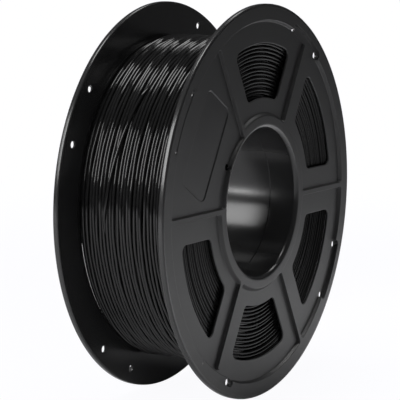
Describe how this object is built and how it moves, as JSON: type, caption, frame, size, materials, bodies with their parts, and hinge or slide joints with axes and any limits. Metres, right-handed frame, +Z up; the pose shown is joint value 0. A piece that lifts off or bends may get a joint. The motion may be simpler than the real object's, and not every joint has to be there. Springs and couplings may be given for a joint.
{
  "type": "filament spool",
  "caption": "Moulded spool with windowed flanges and a wide bore through telescoping hubs, wound with filament whose outer end is tucked through a rim hole.",
  "frame": {"origin": "on the spool's axis, midway between the outer faces of the two flanges", "axes": "+X along the axis, out of the front flange, which the picture shows; +Z up; +Y to the right as the front flange is seen"},
  "size_m": [0.066, 0.2, 0.2],
  "materials": {
    "spool_plastic": "satin, gloss in the bore",
    "filament": "gloss"
  },
  "bodies": {
    "rear_side": {"rear_half": "spool_plastic", "filament_winding": "filament", "filament_start": "filament", "filament_end": "filament"},
    "front_side": {"front_half": "spool_plastic"}
  },
  "joints": [
    {"name": "front_half_pull", "type": "slide", "parent": "rear_side", "child": "front_side", "axis": [1, 0, 0], "range_m": [0, 0.024]}
  ]
}
